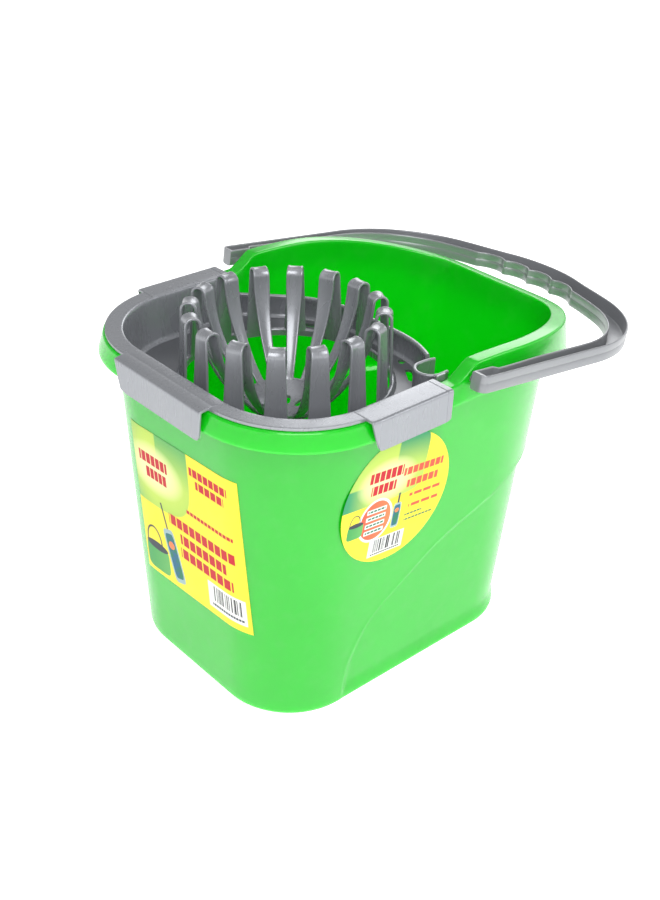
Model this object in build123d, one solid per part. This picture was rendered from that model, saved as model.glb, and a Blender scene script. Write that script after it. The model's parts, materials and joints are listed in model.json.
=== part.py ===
from build123d import *
from collections import namedtuple
from math import cos, radians, sin
import os

# Mop bucket with a lift-out finger-cone wringer and a swing handle.
# Millimetres. +X points to the pouring end, -X to the wringer end, +Z up.
# The origin is the middle of the underside of the bucket, and z = 0 is the floor.

# --- bucket -----------------------------------------------------------------
Plan = namedtuple("Plan", "front side front_r shoulder_x shoulder_r corner_r")
LOW_RIM_Z = 250.0
BASE_PLAN = Plan(-132.8, 98.0, 56.0, 67.7, 56.0, 56.0)
RIM_PLAN = Plan(-144.7, 113.5, 67.0, 50.0, 150.0, 42.0)
SHOULDER_TURN = 46.0
WALL = 2.5
FLOOR_BOTTOM = 3.0
FLOOR_TOP = 6.0
LOFT_TOP = 275.0
STEP_DEPTH = 3.0

RIM_OUT = 12.5
RIM_PLATE = 2.5
SLOPE_FOOT_X = -4.0
SLOPE_TOP_X = 14.0
POUR_RIM_Z = 261.2
POUR_RIM_R = 515.0
LOW_SKIRT_Z = 236.6
FAR_X = 240.0

# --- handle -----------------------------------------------------------------
PIVOT_X = 10.0
PIVOT_Z = 250.0
PIN_R = 3.5
PIN_CLEARANCE = 0.05
PIN_HEAD_R = 4.5
HANDLE_TILT = 7.2
CHANNEL_TOP = 9.85
CHANNEL_DEPTH = 12.5
CHANNEL_WALL = 2.0
ARM_OUT_Y = 140.0
ARM_IN_Y = 129.6
ARM_END = 9.0
ARM_LENGTH = 107.5
OUT_CORNER_X = 114.0
OUT_CORNER_R = 97.0
OUT_CORNER_TURN = 69.4
IN_CORNER_R = 80.0
IN_CORNER_TURN = 70.0
GRIP_CREST_X = 225.5
GRIP_SHOULDER = (219.0, 36.0)
GRIP_IN_BOW = 16.8
SCALLOPS = 4
SCALLOP_PITCH = 25.0
SCALLOP_DEPTH = 5.5

# --- wringer ----------------------------------------------------------------
REST_GAP = 0.3
SHEET = 2.2
FLANGE_OUT = 7.0
BASIN_TOP_IN = 3.5
BASIN_LOW_IN = 9.0
TRAY_Z = 216.8
TRAY_TOP = TRAY_Z + SHEET
FLANGE_Z = LOW_RIM_Z + REST_GAP
FLANGE_TOP = FLANGE_Z + SHEET
WRINGER_REAR_X = -14.0
REAR_WALL_X = 42.5
REAR_CORNER_R = 80.0
REAR_CORNER_Y = 22.0
REAR_LIP_Z = 237.0
HOOK_GAP = 0.4
HOOK_WALL = 1.8
HOOK_Z = 230.0

CONE_X = -48.0
FINGERS = 16
POST_TOP_OUT = 73.0
POST_LOW_OUT = 75.0
FINGER_WIDTH = 12.0
POST_LOW_WIDTH = 16.2
STRAP = 2.0
ARCH_Z = 269.7
ARCH_R = 6.1
RIB_MID = (51.5, 233.0)
RIB_END = (28.0, 203.0)
RIB_END_WIDTH = 5.6
RIB_TAPER_Z = 262.0
HUB_R = 29.0
HUB_Z = 190.4
HUB_DISH_R = 44.0
HUB_SHEET = 2.2
HUB_HOLES = 8
COLLAR_OUT = 78.0
COLLAR_TOP = 222.5

REST_X = 18.0
REST_Y = -75.5
REST_R = 9.4
REST_WALL = 2.0
FAR_REST_ARM = 14.0
NEAR_REST_ARM = 7.0
WING_THICK = 6.4
WING_TOP_Y = -107.0


def grown(plan, amount):
    """The same outline moved outwards by amount, keeping its arc centres."""
    return Plan(plan.front - amount, plan.side + amount, plan.front_r + amount,
                plan.shoulder_x, plan.shoulder_r + amount, plan.corner_r + amount)


def plan_at(z):
    share = z / LOW_RIM_Z
    return Plan(*[low + (high - low) * share for low, high in zip(BASE_PLAN, RIM_PLAN)])


def plan_face(plan, z=0.0):
    """Bucket outline: round front corners, long rear shoulders and a blunt pouring end."""
    turn = radians(SHOULDER_TURN)
    corner = plan.shoulder_r - plan.corner_r
    corner_x = plan.shoulder_x + corner * sin(turn)
    corner_y = -plan.side + plan.shoulder_r - corner * cos(turn)
    rear_x = corner_x + plan.corner_r
    front_y = plan.front_r - plan.side
    near = [
        Line((plan.front, 0), (plan.front, front_y)),
        CenterArc((plan.front + plan.front_r, front_y), plan.front_r, 180, 90),
        Line((plan.front + plan.front_r, -plan.side), (plan.shoulder_x, -plan.side)),
        CenterArc((plan.shoulder_x, plan.shoulder_r - plan.side), plan.shoulder_r,
                  -90, SHOULDER_TURN),
        CenterArc((corner_x, corner_y), plan.corner_r, SHOULDER_TURN - 90,
                  90 - SHOULDER_TURN),
        Line((rear_x, corner_y), (rear_x, 0)),
    ]
    far = [mirror(edge, about=Plane.XZ) for edge in near]
    return Pos(0, 0, z) * make_face([*near, *far])


def tapered(inset, low=-1.0, high=LOFT_TOP):
    """Solid inside the tapered bucket outline, inset from its outer face."""
    sections = [plan_face(grown(plan_at(z), -inset), z) for z in (low, high)]
    return loft(sections, ruled=True)


def prism(plan, low, high):
    return extrude(plan_face(plan, low), amount=high - low)


def rim_line_z(x):
    """Height of the raised rim, which sags along a large arc towards the pouring end."""
    return POUR_RIM_Z - POUR_RIM_R + (POUR_RIM_R ** 2 - (x - SLOPE_TOP_X) ** 2) ** 0.5


def side_view(edges):
    return extrude(Plane.XZ * make_face(edges), amount=FAR_X, both=True)


def below_curve(low_z, foot_x, drop):
    """Everything under a line: level at low_z, up from foot_x, then along the rim arc."""
    start = (SLOPE_TOP_X, rim_line_z(SLOPE_TOP_X) - drop)
    middle = (FAR_X / 2, rim_line_z(FAR_X / 2) - drop)
    end = (FAR_X, rim_line_z(FAR_X) - drop)
    return side_view([
        Polyline((-FAR_X, -10), (-FAR_X, low_z), (foot_x, low_z), start),
        ThreePointArc(start, middle, end),
        Polyline(end, (FAR_X, -10), (-FAR_X, -10)),
    ])


def below_rim(drop=0.0):
    return below_curve(LOW_RIM_Z - drop, SLOPE_FOOT_X, drop)


def below_skirt():
    drop = POUR_RIM_Z - LOW_SKIRT_Z
    return below_curve(LOW_SKIRT_Z, SLOPE_FOOT_X, drop)


def recess_region(shift=0.0):
    """Side view of the lower rear area, bounded by the S-shaped crease."""
    crease = Spline((-74, -10), (-69, 37), (-28, 86), (44, 121), (94, 137), (FAR_X, 142))
    border = Polyline((FAR_X, 142), (FAR_X, -10), (-74, -10))
    return Pos(-shift, 0, shift) * side_view([crease, border])


def stepped_body(inset):
    """Bucket body whose lower rear area stands back by the step."""
    region = recess_region(inset)
    return (tapered(inset) - region) + (tapered(inset + STEP_DEPTH) & region)


def bucket_nodes():
    inside = stepped_body(WALL)
    outside = stepped_body(0.0) & below_rim(RIM_PLATE)
    ground = Pos(0, 0, LOFT_TOP / 2) * Box(4 * FAR_X, 2 * FAR_X, LOFT_TOP)
    wall = (outside - inside) & ground
    slab_z = (FLOOR_BOTTOM + FLOOR_TOP) / 2
    slab = Pos(0, 0, slab_z) * Box(2 * FAR_X, 2 * FAR_X, FLOOR_TOP - FLOOR_BOTTOM)
    rim_plan = grown(RIM_PLAN, RIM_OUT)
    plate = (prism(rim_plan, 200, LOFT_TOP) & below_rim()) - below_rim(RIM_PLATE) - inside
    curtain = prism(rim_plan, 180, LOFT_TOP) - prism(grown(rim_plan, -WALL), 180, LOFT_TOP)
    skirt = (curtain & below_rim(RIM_PLATE)) - below_skirt()
    rim = plate + skirt - pin_holes()
    front = Pos(SLOPE_FOOT_X - FAR_X, 0, LOW_RIM_Z) * Box(2 * FAR_X, 2 * FAR_X, 200)
    return {
        "bucket_wall": wall,
        "bucket_floor": inside & slab,
        "front_rim": rim & front,
        "pouring_rim": rim - front,
    }


def pin_holes():
    hole = Rot(90, 0, 0) * Cylinder(PIN_R + PIN_CLEARANCE, 2 * FAR_X)
    return Pos(PIVOT_X, 0, PIVOT_Z) * hole


# --- stickers ---------------------------------------------------------------
STICKER = 0.25
FRONT_STICKER = (121.0, 126.0)
FRONT_STICKER_AT = (-4.5, 133.0)
FRONT_STICKER_TILT = -2.5
ROUND_STICKER_R = 50.0
ROUND_STICKER_AT = (-41.0, 171.0)


def sticker_nodes():
    skin = tapered(-STICKER) - tapered(0.0)
    width, height = FRONT_STICKER
    front_y, front_z = FRONT_STICKER_AT
    front_cut = Pos(-FAR_X / 2, front_y, front_z) * Rot(FRONT_STICKER_TILT, 0, 0)
    front = skin & front_cut * Box(FAR_X, width, height)
    side_x, side_z = ROUND_STICKER_AT
    drum = Pos(side_x, -FAR_X / 2, side_z) * Rot(90, 0, 0) * Cylinder(ROUND_STICKER_R, FAR_X)
    return {"front_sticker": front, "round_sticker": skin & drum}


# --- wringer ----------------------------------------------------------------
def tray_plan(inset):
    """Rear limit of the tray: a straight back between two big arcs and two diagonals."""
    radius = REAR_CORNER_R - inset
    back = REAR_WALL_X - inset
    reach = radius * cos(radians(45))
    corner_x = REAR_WALL_X - REAR_CORNER_R
    end = (corner_x + reach, REAR_CORNER_Y + reach)
    side_y = end[1] + end[0] - WRINGER_REAR_X
    far = [
        Line((back, 0), (back, REAR_CORNER_Y)),
        CenterArc((corner_x, REAR_CORNER_Y), radius, 0, 45),
        Polyline(end, (WRINGER_REAR_X, side_y), (-FAR_X, side_y), (-FAR_X, 0)),
    ]
    near = [mirror(edge, about=Plane.XZ) for edge in far]
    return make_face([*far, *near])


def wing_plan():
    """Plan of the thick diagonal wall between the shaft rest and the flange."""
    reach = REAR_CORNER_R * cos(radians(45))
    corner_x = REAR_WALL_X - REAR_CORNER_R
    diagonal = corner_x + 2 * reach + REAR_CORNER_Y
    outer = diagonal + WING_THICK / cos(radians(45))
    low_y = REST_Y - REST_R
    high_y = -RIM_PLAN.side
    return make_face(Polyline(
        (diagonal + low_y, low_y), (outer + low_y, low_y), (outer + high_y, high_y),
        (diagonal + high_y, high_y), (diagonal + low_y, low_y)))


def wing_ramp():
    """Everything under the wing's top, which climbs from the lip to the flange."""
    low_y = REST_Y - REST_R - REST_WALL
    profile = Polyline((low_y, TRAY_Z), (low_y, REAR_LIP_Z), (WING_TOP_Y, FLANGE_TOP),
                       (-FAR_X, FLANGE_TOP), (-FAR_X, TRAY_Z), (low_y, TRAY_Z))
    return extrude(Plane.YZ * make_face(profile), amount=FAR_X, both=True)


def rest_plan(radius):
    """U outline open to the rear, the plan of the mop shaft's rest."""
    slot = Pos(REST_X + FAR_X / 2, REST_Y) * Rectangle(FAR_X, 2 * radius)
    return Pos(REST_X, REST_Y) * Circle(radius) + slot


def basin_loft(inset):
    low = plan_face(grown(RIM_PLAN, -BASIN_LOW_IN - inset), TRAY_Z)
    high = plan_face(grown(RIM_PLAN, -BASIN_TOP_IN - inset), FLANGE_TOP)
    return loft([low, high], ruled=True)


def upright(face, low, high):
    return extrude(Pos(0, 0, low) * face, amount=high - low)


def tray_nodes():
    basin = basin_loft(0.0)
    hollow = basin_loft(SHEET)
    limit = upright(tray_plan(0.0), TRAY_Z, FLANGE_TOP)
    inner_limit = upright(tray_plan(SHEET), TRAY_Z, FLANGE_TOP)
    rest_gap = upright(rest_plan(REST_R), TRAY_Z, FLANGE_TOP)
    rest_body = upright(rest_plan(REST_R + REST_WALL), TRAY_Z, FLANGE_TOP)
    above_tray = upright(Rectangle(4 * FAR_X, 2 * FAR_X), TRAY_TOP, FLANGE_TOP)
    below_lip = upright(Rectangle(4 * FAR_X, 2 * FAR_X), TRAY_TOP, REAR_LIP_Z)
    collar_bore = Pos(CONE_X, 0, TRAY_Z) * Cylinder(COLLAR_OUT, 100)
    wing = (upright(wing_plan(), TRAY_Z, FLANGE_TOP) & basin & wing_ramp()) - rest_body
    floor = (basin & limit & upright(Rectangle(4 * FAR_X, 2 * FAR_X), TRAY_Z, TRAY_TOP))
    floor = floor - collar_bore - rest_body - wing - drain_holes()
    ahead = Pos(WRINGER_REAR_X - FAR_X, 0, LOW_RIM_Z) * Box(2 * FAR_X, 2 * FAR_X, 200)
    side_wall = (basin - hollow) & above_tray & ahead
    rear_parts = (hollow & limit & below_lip) - inner_limit - rest_body
    rear_wall = rear_parts.solids().sort_by(Axis.Y)[-1]
    collar = upright(rest_plan(REST_R + REST_WALL), TRAY_Z, REAR_LIP_Z) - rest_gap
    shaft_rest = collar - beyond_rest_arms()
    flange = prism(grown(RIM_PLAN, FLANGE_OUT), FLANGE_Z, FLANGE_TOP) - basin
    return {
        "tray_floor": floor,
        "basin_wall": side_wall,
        "rear_wall": rear_wall,
        "rest_wing": wing,
        "shaft_rest": shaft_rest,
        "rim_flange": flange & ahead,
    }


def beyond_rest_arms():
    """Space past the ends of the shaft rest's arms; the far arm is the longer one."""
    half = FAR_X / 2
    far = Pos(REST_X + FAR_REST_ARM + half, REST_Y + half, LOW_RIM_Z) * Box(FAR_X, FAR_X, 100)
    near = Pos(REST_X + NEAR_REST_ARM + half, REST_Y - half, LOW_RIM_Z) * Box(FAR_X, FAR_X, 100)
    return far + near


DRAIN_CIRCLE_R = 88.5
DRAIN_SLOT = (18.0, 4.8)
DRAIN_SLOT_ANGLES = (-35.5, 35.5)
DRAIN_HOLE_R = 2.9
DRAIN_HOLE_ANGLES = (-21.5, 21.5)


def drain_holes():
    """Slots and round holes in the tray floor, on a circle round the cone."""
    centre = Pos(CONE_X, 0, TRAY_Z - 1)
    slot = extrude(Rot(0, 0, 90) * SlotOverall(*DRAIN_SLOT), amount=SHEET + 2)
    hole = extrude(Circle(DRAIN_HOLE_R), amount=SHEET + 2)
    slots = [centre * Rot(0, 0, angle) * Pos(DRAIN_CIRCLE_R, 0, 0) * slot
             for angle in DRAIN_SLOT_ANGLES]
    holes = [centre * Rot(0, 0, angle) * Pos(DRAIN_CIRCLE_R, 0, 0) * hole
             for angle in DRAIN_HOLE_ANGLES]
    return slots + holes


def hook(window):
    """Clip that carries the flange over the bucket's rim and down outside its skirt."""
    outer = grown(RIM_PLAN, RIM_OUT + HOOK_GAP + HOOK_WALL)
    inner = grown(RIM_PLAN, RIM_OUT + HOOK_GAP)
    top = prism(outer, FLANGE_Z, FLANGE_TOP) - prism(grown(RIM_PLAN, FLANGE_OUT),
                                                     FLANGE_Z, FLANGE_TOP)
    drop = prism(outer, HOOK_Z, FLANGE_TOP) - prism(inner, HOOK_Z, FLANGE_TOP)
    return (top + drop) & window


def hook_nodes():
    tall = 100
    front = Pos(-FAR_X / 2 - 60, -2.5, LOW_RIM_Z) * Box(FAR_X, 95, tall)
    near = Pos(-49.5, -FAR_X / 2, LOW_RIM_Z) * Box(71, FAR_X, tall)
    far = Pos(-49.5, FAR_X / 2, LOW_RIM_Z) * Box(71, FAR_X, tall)
    return {"front_clip": hook(front), "near_clip": hook(near), "far_clip": hook(far)}


def front_taper(top_z, top_w, low_z, low_w, head_z):
    """Front view of a strap, as a cutter: straight at the top and narrowing below."""
    outline = Polyline((low_w / 2, low_z), (top_w / 2, top_z), (top_w / 2, head_z),
                       (-top_w / 2, head_z), (-top_w / 2, top_z), (-low_w / 2, low_z),
                       (low_w / 2, low_z))
    return extrude(Plane.YZ * make_face(outline), amount=FAR_X, both=True)


def finger_post():
    """Outer leg of a finger: a flat strap that widens and leans out onto the collar."""
    side = Polyline((POST_TOP_OUT - STRAP, ARCH_Z), (POST_TOP_OUT, ARCH_Z),
                    (POST_LOW_OUT, COLLAR_TOP), (POST_LOW_OUT - STRAP, COLLAR_TOP),
                    (POST_TOP_OUT - STRAP, ARCH_Z))
    plate = extrude(Plane.XZ * make_face(side), amount=FINGER_WIDTH, both=True)
    return plate & front_taper(ARCH_Z, FINGER_WIDTH, COLLAR_TOP, POST_LOW_WIDTH, ARCH_Z + 1)


def finger_rib():
    """Inner leg of a finger: over the arch, then curving down to the cone's hub."""
    crown = POST_TOP_OUT - ARCH_R
    inner_r = ARCH_R - STRAP
    rib_in = POST_TOP_OUT - 2 * ARCH_R
    half = STRAP / 2
    slant = half * cos(radians(45))
    side = [
        ThreePointArc((POST_TOP_OUT, ARCH_Z), (crown, ARCH_Z + ARCH_R), (rib_in, ARCH_Z)),
        ThreePointArc((rib_in, ARCH_Z), (RIB_MID[0] - slant, RIB_MID[1] + slant),
                      (RIB_END[0] - slant, RIB_END[1] + slant)),
        Line((RIB_END[0] - slant, RIB_END[1] + slant), (RIB_END[0] + slant, RIB_END[1] - slant)),
        ThreePointArc((RIB_END[0] + slant, RIB_END[1] - slant),
                      (RIB_MID[0] + slant, RIB_MID[1] - slant), (rib_in + STRAP, ARCH_Z)),
        ThreePointArc((rib_in + STRAP, ARCH_Z), (crown, ARCH_Z + inner_r),
                      (POST_TOP_OUT - STRAP, ARCH_Z)),
        Line((POST_TOP_OUT - STRAP, ARCH_Z), (POST_TOP_OUT, ARCH_Z)),
    ]
    strap = extrude(Plane.XZ * make_face(side), amount=FINGER_WIDTH, both=True)
    taper = front_taper(RIB_TAPER_Z, FINGER_WIDTH, RIB_END[1] - 4, RIB_END_WIDTH, 300)
    return (strap & taper) - Pos(0, 0, RIB_END[1]) * Cylinder(HUB_R, 40)


def cone_hub():
    """Shallow dish that the ribs run into, with a ring of oval holes."""
    centre = Pos(0, 0, HUB_Z + HUB_DISH_R)
    dish = centre * (Sphere(HUB_DISH_R) - Sphere(HUB_DISH_R - HUB_SHEET))
    dish = dish & Pos(0, 0, HUB_Z) * Cylinder(HUB_R, 60)
    bore = extrude(SlotOverall(8.0, 4.6), amount=20)
    holes = [Rot(0, 0, 360 / HUB_HOLES * turn) * Pos(13, 0, HUB_Z - 5) * bore
             for turn in range(HUB_HOLES)]
    return dish - holes


def cone_nodes():
    place = Pos(CONE_X, 0, 0)
    ring = Circle(COLLAR_OUT) - Circle(POST_LOW_OUT - STRAP)
    nodes = {"cone_hub": place * cone_hub(),
             "cone_collar": place * upright(ring, TRAY_Z, COLLAR_TOP)}
    post = finger_post()
    rib = finger_rib()
    for index in range(FINGERS):
        turned = place * Rot(0, 0, 360 / FINGERS * index)
        nodes[f"finger_rib_{index + 1:02d}"] = turned * rib
        nodes[f"finger_post_{index + 1:02d}"] = turned * post
    return nodes


# --- handle -----------------------------------------------------------------
def corner_arc(x, y, radius, turn):
    """Arc leaving an arm at (x, y) and turning towards the grip; gives the arc and its end."""
    middle, end = ((x + radius * sin(angle), y - radius * (1 - cos(angle)))
                   for angle in (radians(turn) / 2, radians(turn)))
    return ThreePointArc((x, y), middle, end), end


def outer_crest(start, wall):
    """Back edge of the grip, flowing from both corners to its crest."""
    lean = radians(OUT_CORNER_TURN)
    x, y = GRIP_SHOULDER[0] - 0.93 * wall, GRIP_SHOULDER[1] - 0.36 * wall
    points = [start, (x, y), (GRIP_CREST_X - wall, 0), (x, -y), (start[0], -start[1])]
    return Spline(*points, tangents=[(cos(lean), -sin(lean)), (-cos(lean), -sin(lean))])


def handle_outline(wall):
    """Plan of the handle bar, inset by wall on both sides, in its own tilted frame."""
    out_y = ARM_OUT_Y - wall
    in_y = ARM_IN_Y + wall
    back = -ARM_END + wall
    out_arc, out_end = corner_arc(OUT_CORNER_X, out_y, OUT_CORNER_R - wall, OUT_CORNER_TURN)
    in_arc, in_end = corner_arc(ARM_LENGTH, in_y, IN_CORNER_R + wall, IN_CORNER_TURN)
    arm = Polyline((ARM_LENGTH, in_y), (back, in_y), (back, out_y), (OUT_CORNER_X, out_y))
    edges = [arm, out_arc, in_arc]
    edges += [mirror(edge, about=Plane.XZ) for edge in edges]
    cusps = scallop_cusps(in_end[0] + GRIP_IN_BOW)
    edges.append(outer_crest(out_end, wall))
    edges.append(Line(in_end, cusps[0]))
    edges.append(Line((in_end[0], -in_end[1]), cusps[-1]))
    for start, end in zip(cusps, cusps[1:]):
        middle = ((start[0] + end[0]) / 2 + SCALLOP_DEPTH, (start[1] + end[1]) / 2)
        edges.append(ThreePointArc(start, middle, end))
    return make_face(edges)


def scallop_cusps(crest_x):
    """Ridges between the finger scallops, on the bowed inner edge of the grip."""
    span = SCALLOPS * SCALLOP_PITCH / 2
    ys = [span - SCALLOP_PITCH * step for step in range(SCALLOPS + 1)]
    return [(crest_x - GRIP_IN_BOW * (y / (IN_CORNER_R - 3)) ** 2, y) for y in ys]


def tilted(shape):
    """From the handle's own frame to its rest pose, leaning back on the pivot stops."""
    return Pos(PIVOT_X, 0, PIVOT_Z) * Rot(0, HANDLE_TILT, 0) * shape


def handle_nodes():
    low = CHANNEL_TOP - CHANNEL_DEPTH
    bar = extrude(Pos(0, 0, low) * handle_outline(0.0), amount=CHANNEL_DEPTH)
    groove = extrude(Pos(0, 0, low + CHANNEL_WALL) * handle_outline(CHANNEL_WALL),
                     amount=CHANNEL_DEPTH)
    block_top = CHANNEL_TOP - 3.0
    block = Pos(0, 0, block_top + 20) * Box(2 * ARM_END + 2, 400, 40)
    boss_zone = Pos(0, 0, 0) * Box(2 * ARM_END + 2, 400, 100)
    bar = bar - (groove - boss_zone) - (groove & block)
    arm_zone = Pos(ARM_LENGTH - 200, 200, 0) * Box(400, 400, 100)
    far_arm = bar & arm_zone
    near_arm = bar & mirror(arm_zone, about=Plane.XZ)
    grip = bar & Pos(ARM_LENGTH + 200, 0, 0) * Box(400, 400, 100)
    skirt_in = RIM_PLAN.side + RIM_OUT - WALL
    shank = Pos(0, 0, 0) * Rot(-90, 0, 0) * Pos(0, 0, skirt_in - 2.3) * Cylinder(
        PIN_R, ARM_IN_Y - skirt_in + 2.3, align=(Align.CENTER, Align.CENTER, Align.MIN))
    head = Rot(-90, 0, 0) * Pos(0, 0, skirt_in - 2.3) * Cylinder(
        PIN_HEAD_R, 2.0, align=(Align.CENTER, Align.CENTER, Align.MIN))
    pin = shank + head
    return {
        "near_arm": tilted(near_arm),
        "far_arm": tilted(far_arm),
        "grip": tilted(grip),
        "far_pin": tilted(pin),
        "near_pin": tilted(mirror(pin, about=Plane.XZ)),
    }


def main():
    os.makedirs("parts", exist_ok=True)
    nodes = {**bucket_nodes(), **sticker_nodes(), **tray_nodes(), **hook_nodes(),
             **cone_nodes(), **handle_nodes()}
    for name, shape in nodes.items():
        export_step(shape, f"parts/{name}.step")


main()
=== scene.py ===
import json
from functools import lru_cache
from math import cos, degrees, hypot, pi, radians, sin, sqrt

import bpy
import numpy as np
from mathutils import Matrix, Vector

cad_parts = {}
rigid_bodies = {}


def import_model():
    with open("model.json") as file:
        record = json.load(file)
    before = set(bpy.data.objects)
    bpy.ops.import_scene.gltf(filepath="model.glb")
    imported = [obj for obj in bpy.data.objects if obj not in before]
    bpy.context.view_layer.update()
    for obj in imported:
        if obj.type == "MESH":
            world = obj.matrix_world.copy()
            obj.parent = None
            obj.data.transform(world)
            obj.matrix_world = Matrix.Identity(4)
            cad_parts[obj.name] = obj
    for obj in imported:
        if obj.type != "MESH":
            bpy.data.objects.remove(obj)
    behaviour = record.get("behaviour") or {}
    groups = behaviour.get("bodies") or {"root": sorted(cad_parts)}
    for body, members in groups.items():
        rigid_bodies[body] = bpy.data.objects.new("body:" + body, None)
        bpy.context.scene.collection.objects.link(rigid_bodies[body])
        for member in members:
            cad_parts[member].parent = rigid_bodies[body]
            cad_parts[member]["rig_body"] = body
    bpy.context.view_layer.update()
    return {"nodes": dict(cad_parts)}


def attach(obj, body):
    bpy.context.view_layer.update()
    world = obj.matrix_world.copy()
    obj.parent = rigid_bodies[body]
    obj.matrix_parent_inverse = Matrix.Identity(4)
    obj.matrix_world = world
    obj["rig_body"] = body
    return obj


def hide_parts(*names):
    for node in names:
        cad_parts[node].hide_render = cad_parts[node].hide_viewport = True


# Mop bucket with a lift-out cone wringer and a swing handle.
# Shapes are worked out in millimetres in the frame of the CAD model; +X is the pouring end.

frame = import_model()
MM = 0.001
RELIEF_DEPTH = 0.0002
PRINT_SCALE = 100.0

# --- bucket outline: low and rim plans, ruled between ------------------------
RIM_Z = 250.0
BASE_PLAN = (-132.8, 98.0, 56.0, 67.7, 56.0, 56.0)
RIM_PLAN = (-144.7, 113.5, 67.0, 50.0, 150.0, 42.0)
SHOULDER_TURN = radians(46.0)
SEGMENT_STEPS = (8, 26, 56, 16, 18, 8)


def plan_at(z):
    share = z / RIM_Z
    return tuple(low + (high - low) * share for low, high in zip(BASE_PLAN, RIM_PLAN))


def grown(plan, amount):
    front, side, front_r, shoulder_x, shoulder_r, corner_r = plan
    return (front - amount, side + amount, front_r + amount,
            shoulder_x, shoulder_r + amount, corner_r + amount)


def arc_points(centre, radius, start, turn, steps):
    angles = [radians(start) + radians(turn) * i / steps for i in range(steps)]
    return [(centre[0] + radius * cos(a), centre[1] + radius * sin(a)) for a in angles]


def line_points(start, end, steps):
    return [(start[0] + (end[0] - start[0]) * i / steps, start[1] + (end[1] - start[1]) * i / steps)
            for i in range(steps)]


def outline(plan):
    """Stations round the bucket, from the front centre by the near side, as an (n, 2) array."""
    front, side, front_r, shoulder_x, shoulder_r, corner_r = plan
    turn = degrees(SHOULDER_TURN)
    corner_x = shoulder_x + (shoulder_r - corner_r) * sin(SHOULDER_TURN)
    corner_y = shoulder_r - side - (shoulder_r - corner_r) * cos(SHOULDER_TURN)
    rear_x = corner_x + corner_r
    n = SEGMENT_STEPS
    near = line_points((front, 0), (front, front_r - side), n[0])
    near += arc_points((front + front_r, front_r - side), front_r, 180, 90, n[1])
    near += line_points((front + front_r, -side), (shoulder_x, -side), n[2])
    near += arc_points((shoulder_x, shoulder_r - side), shoulder_r, -90, turn, n[3])
    near += arc_points((corner_x, corner_y), corner_r, turn - 90, 90 - turn, n[4])
    near += line_points((rear_x, corner_y), (rear_x, 0), n[5])
    near.append((rear_x, 0.0))
    far = [(x, -y) for x, y in near[-2:0:-1]]
    return np.array(near + far)


# --- heights -----------------------------------------------------------------
POUR_RIM_Z = 261.2
POUR_RIM_R = 515.0
SLOPE_FOOT_X = -4.0
SLOPE_TOP_X = 14.0
LOW_SKIRT_Z = 236.6


def smooth_step(value, low, high):
    t = np.clip((value - low) / (high - low), 0, 1)
    return t * t * (3 - 2 * t)


def pour_sag(x):
    """How far the long arc behind the climb has sunk below its crest."""
    return POUR_RIM_R - np.sqrt(POUR_RIM_R ** 2 - np.maximum(x - SLOPE_TOP_X, 0) ** 2)


def rim_height(x):
    """Top of the rim: level at the front, a short climb, then a long sagging arc."""
    climb = np.clip((x - SLOPE_FOOT_X) / (SLOPE_TOP_X - SLOPE_FOOT_X), 0, 1)
    climb = 0.7 * climb + 0.3 * smooth_step(x, SLOPE_FOOT_X, SLOPE_TOP_X)
    return np.where(x < SLOPE_TOP_X, RIM_Z + (POUR_RIM_Z - RIM_Z) * climb, POUR_RIM_Z - pour_sag(x))


def skirt_bottom(x):
    return LOW_SKIRT_Z - pour_sag(x)


CREASE = [(-74, -30), (-74, -10), (-72.8, 13), (-69, 37.5), (-61.5, 53), (-52.8, 67), (-40, 77.5),
          (-26, 86), (-8, 98), (10.5, 109), (28, 116.2), (45.3, 121.8), (72, 131), (87, 135.5),
          (104, 139), (130, 141), (170, 142), (260, 142)]
STEP_DEPTH = 3.0
STEP_EDGE = (-1.6, 3.0)
BEAD_HEIGHT, BEAD_WIDTH = 0.4, 1.6
FOOT_FADE = (-1.0, 16.0)


def crease_polyline():
    pts = np.array(CREASE, float)
    dist = np.r_[0, np.cumsum(np.hypot(*np.diff(pts, axis=0).T))]
    fine = np.linspace(0, dist[-1], 260)
    line = np.column_stack([np.interp(fine, dist, pts[:, 0]), np.interp(fine, dist, pts[:, 1])])
    for _ in range(14):
        line[1:-1] = (line[:-2] + line[2:] + 2 * line[1:-1]) / 4
    return line


CREASE_LINE = crease_polyline()


def recess(x, z):
    """How far the lower rear area stands back at these points, 0 to STEP_DEPTH."""
    p = np.column_stack([x, z])
    a, b = CREASE_LINE[:-1], CREASE_LINE[1:]
    d = b - a
    q = p[:, None, :]
    t = np.clip(((q - a) * d).sum(-1) / (d ** 2).sum(-1), 0, 1)
    off = q - (a + t[..., None] * d)
    dist = np.hypot(off[..., 0], off[..., 1])
    rows, best = np.arange(len(p)), dist.argmin(1)
    side = d[best, 0] * off[rows, best, 1] - d[best, 1] * off[rows, best, 0]
    signed = np.where(side < 0, 1, -1) * dist[rows, best]
    bead = BEAD_HEIGHT * np.exp(-((signed - STEP_EDGE[0]) / BEAD_WIDTH) ** 2)
    return (STEP_DEPTH * smooth_step(signed, *STEP_EDGE) - bead) * smooth_step(z, *FOOT_FADE)


# --- mesh helpers --------------------------------------------------------------
def grid_faces(rows, cols, wrap_rows=False, wrap_cols=False):
    faces = []
    for i in range(rows if wrap_rows else rows - 1):
        for j in range(cols if wrap_cols else cols - 1):
            a, b = i * cols + j, i * cols + (j + 1) % cols
            k = (i + 1) % rows * cols
            faces.append((a, b, k + (j + 1) % cols, k + j))
    return faces


def tube_faces(rings, cols):
    """Faces of a tube of closed rings, with a cap at each end."""
    last = (rings - 1) * cols
    caps = [tuple(range(cols))[::-1], tuple(range(last, last + cols))]
    return grid_faces(rings, cols, wrap_cols=True) + caps


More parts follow.
